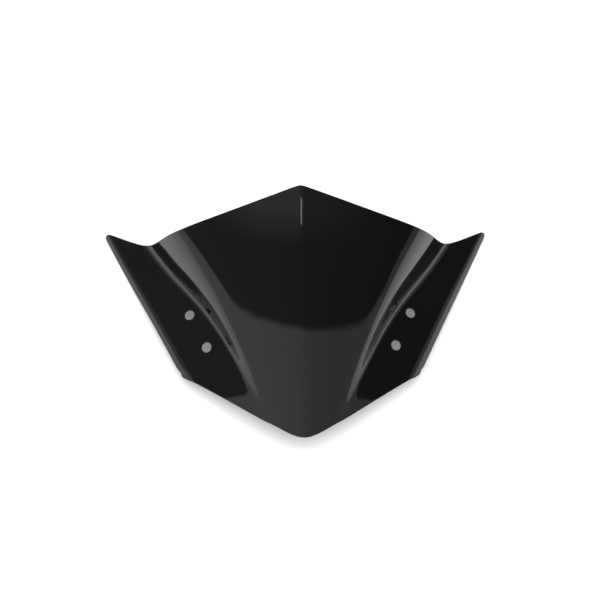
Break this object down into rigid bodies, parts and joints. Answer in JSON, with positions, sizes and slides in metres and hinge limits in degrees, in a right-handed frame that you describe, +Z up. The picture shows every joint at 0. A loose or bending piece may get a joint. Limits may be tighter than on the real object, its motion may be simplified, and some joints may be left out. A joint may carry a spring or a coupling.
{
  "type": "motorcycle windshield screen",
  "caption": "Pointed, domed plastic screen with side wings that bolts to the front of a motorcycle through bushed holes and deflects wind over the instruments.",
  "frame": {"origin": "centre of the part's plan box, on the surface it stands on", "axes": "+Z up with the screen lying convex side up, the outer edges of its wings down; +Y towards the top edge, -Y towards the nose; X = 0 is the plane of symmetry"},
  "size_m": [0.371, 0.2208, 0.1019],
  "materials": {
    "gloss_black_plastic": "gloss",
    "grey_nylon": "satin",
    "black_rubber": "matte"
  },
  "bodies": {
    "root": {"screen_panel": "gloss_black_plastic", "bush_upper_left": "grey_nylon", "bush_upper_right": "grey_nylon", "bush_lower_left": "grey_nylon", "bush_lower_right": "grey_nylon", "damper_upper_left": "black_rubber", "damper_upper_right": "black_rubber", "damper_lower_left": "black_rubber", "damper_lower_right": "black_rubber"}
  },
  "joints": []
}
